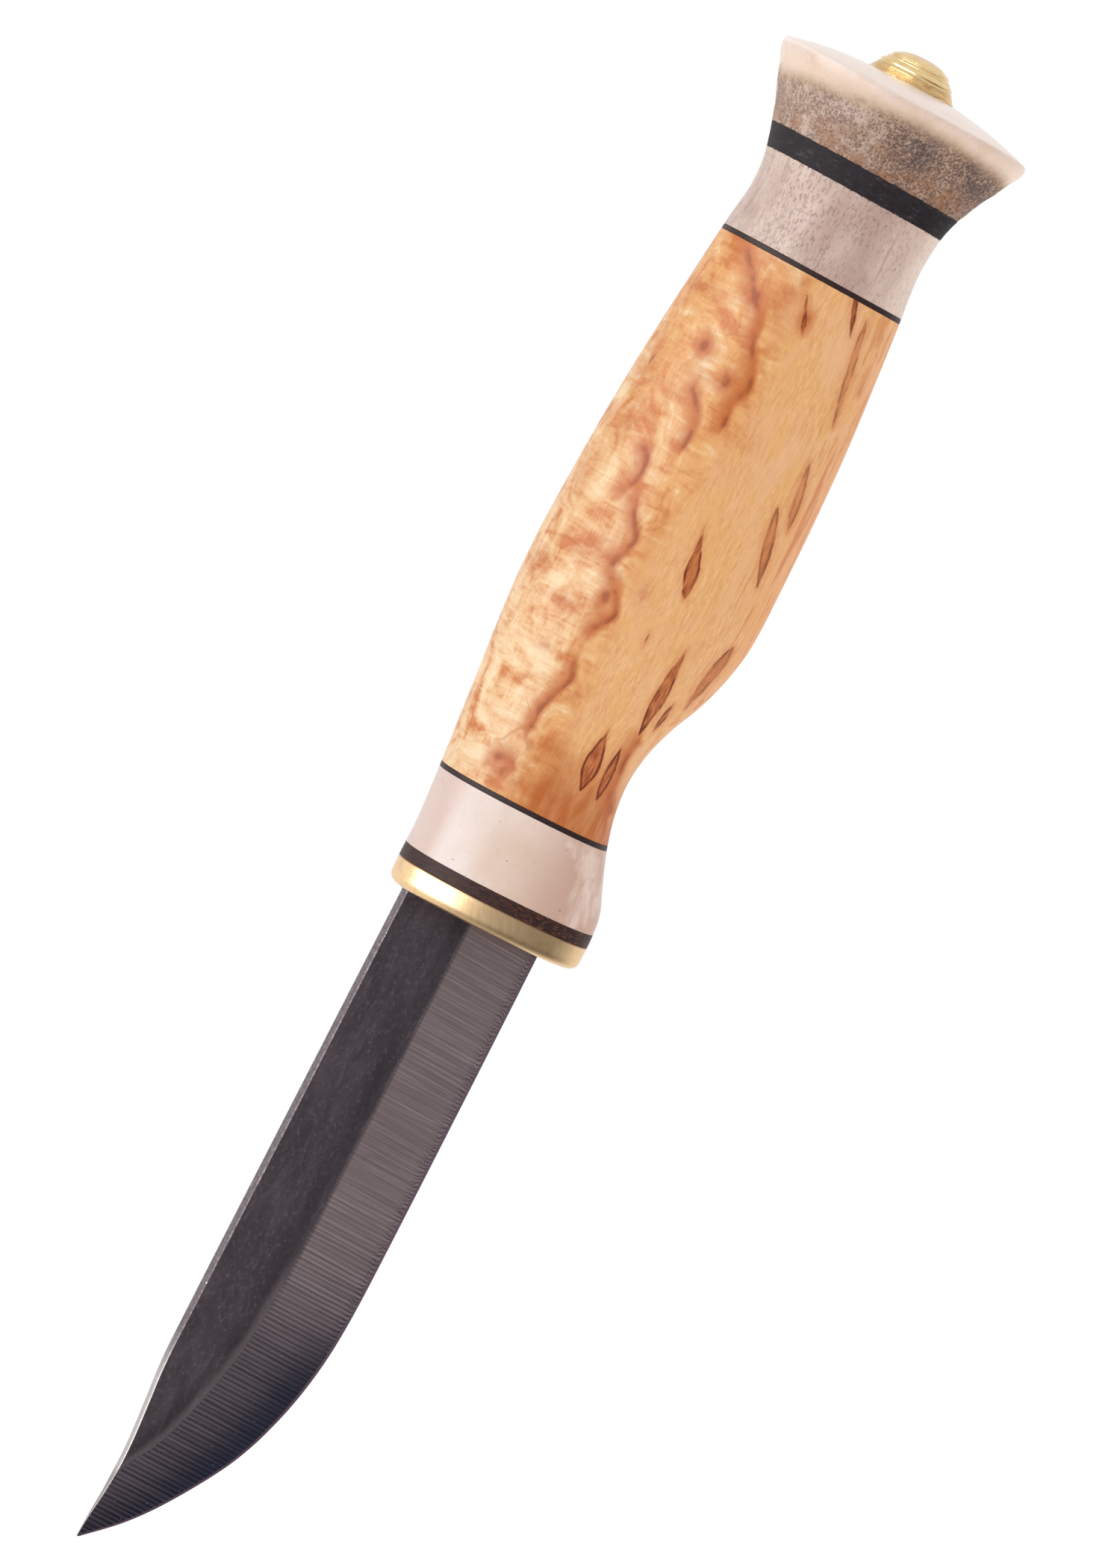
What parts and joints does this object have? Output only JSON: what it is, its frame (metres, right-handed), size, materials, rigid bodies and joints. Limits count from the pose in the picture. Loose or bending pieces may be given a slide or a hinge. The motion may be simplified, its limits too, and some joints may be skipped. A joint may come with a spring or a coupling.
{
  "type": "stick-tang belt knife",
  "caption": "Nordic belt knife: dark-scaled steel blade with a ground bevel, and a grip of antler, curly birch, dark spacers and brass threaded on a stick tang.",
  "frame": {"origin": "on the tang's axis, level with the blade's point", "axes": "+Z along the tang from the blade to the pommel, +X towards the cutting edge's side, -X towards the blade's back, Y across the thickness"},
  "size_m": [0.0318, 0.026, 0.1976],
  "materials": {
    "blade_steel": "satin",
    "brass": "satin",
    "brown_leather": "satin",
    "polished_antler": "gloss",
    "black_fibre": "satin",
    "curly_birch": "satin",
    "porous_antler": "satin",
    "black_leather": "matte",
    "bark_antler": "satin",
    "adhesive": "matte"
  },
  "bodies": {
    "root": {"blade": "blade_steel", "front_bolster": "brass", "front_spacer": "brown_leather", "front_antler": "polished_antler", "front_liner": "black_fibre", "birch_grip": "curly_birch", "rear_liner": "black_fibre", "rear_antler": "porous_antler", "rear_spacer": "black_leather", "antler_pommel": "bark_antler", "end_washer": "brass", "end_cap": "brass", "tang_bedding": "adhesive"}
  },
  "joints": []
}
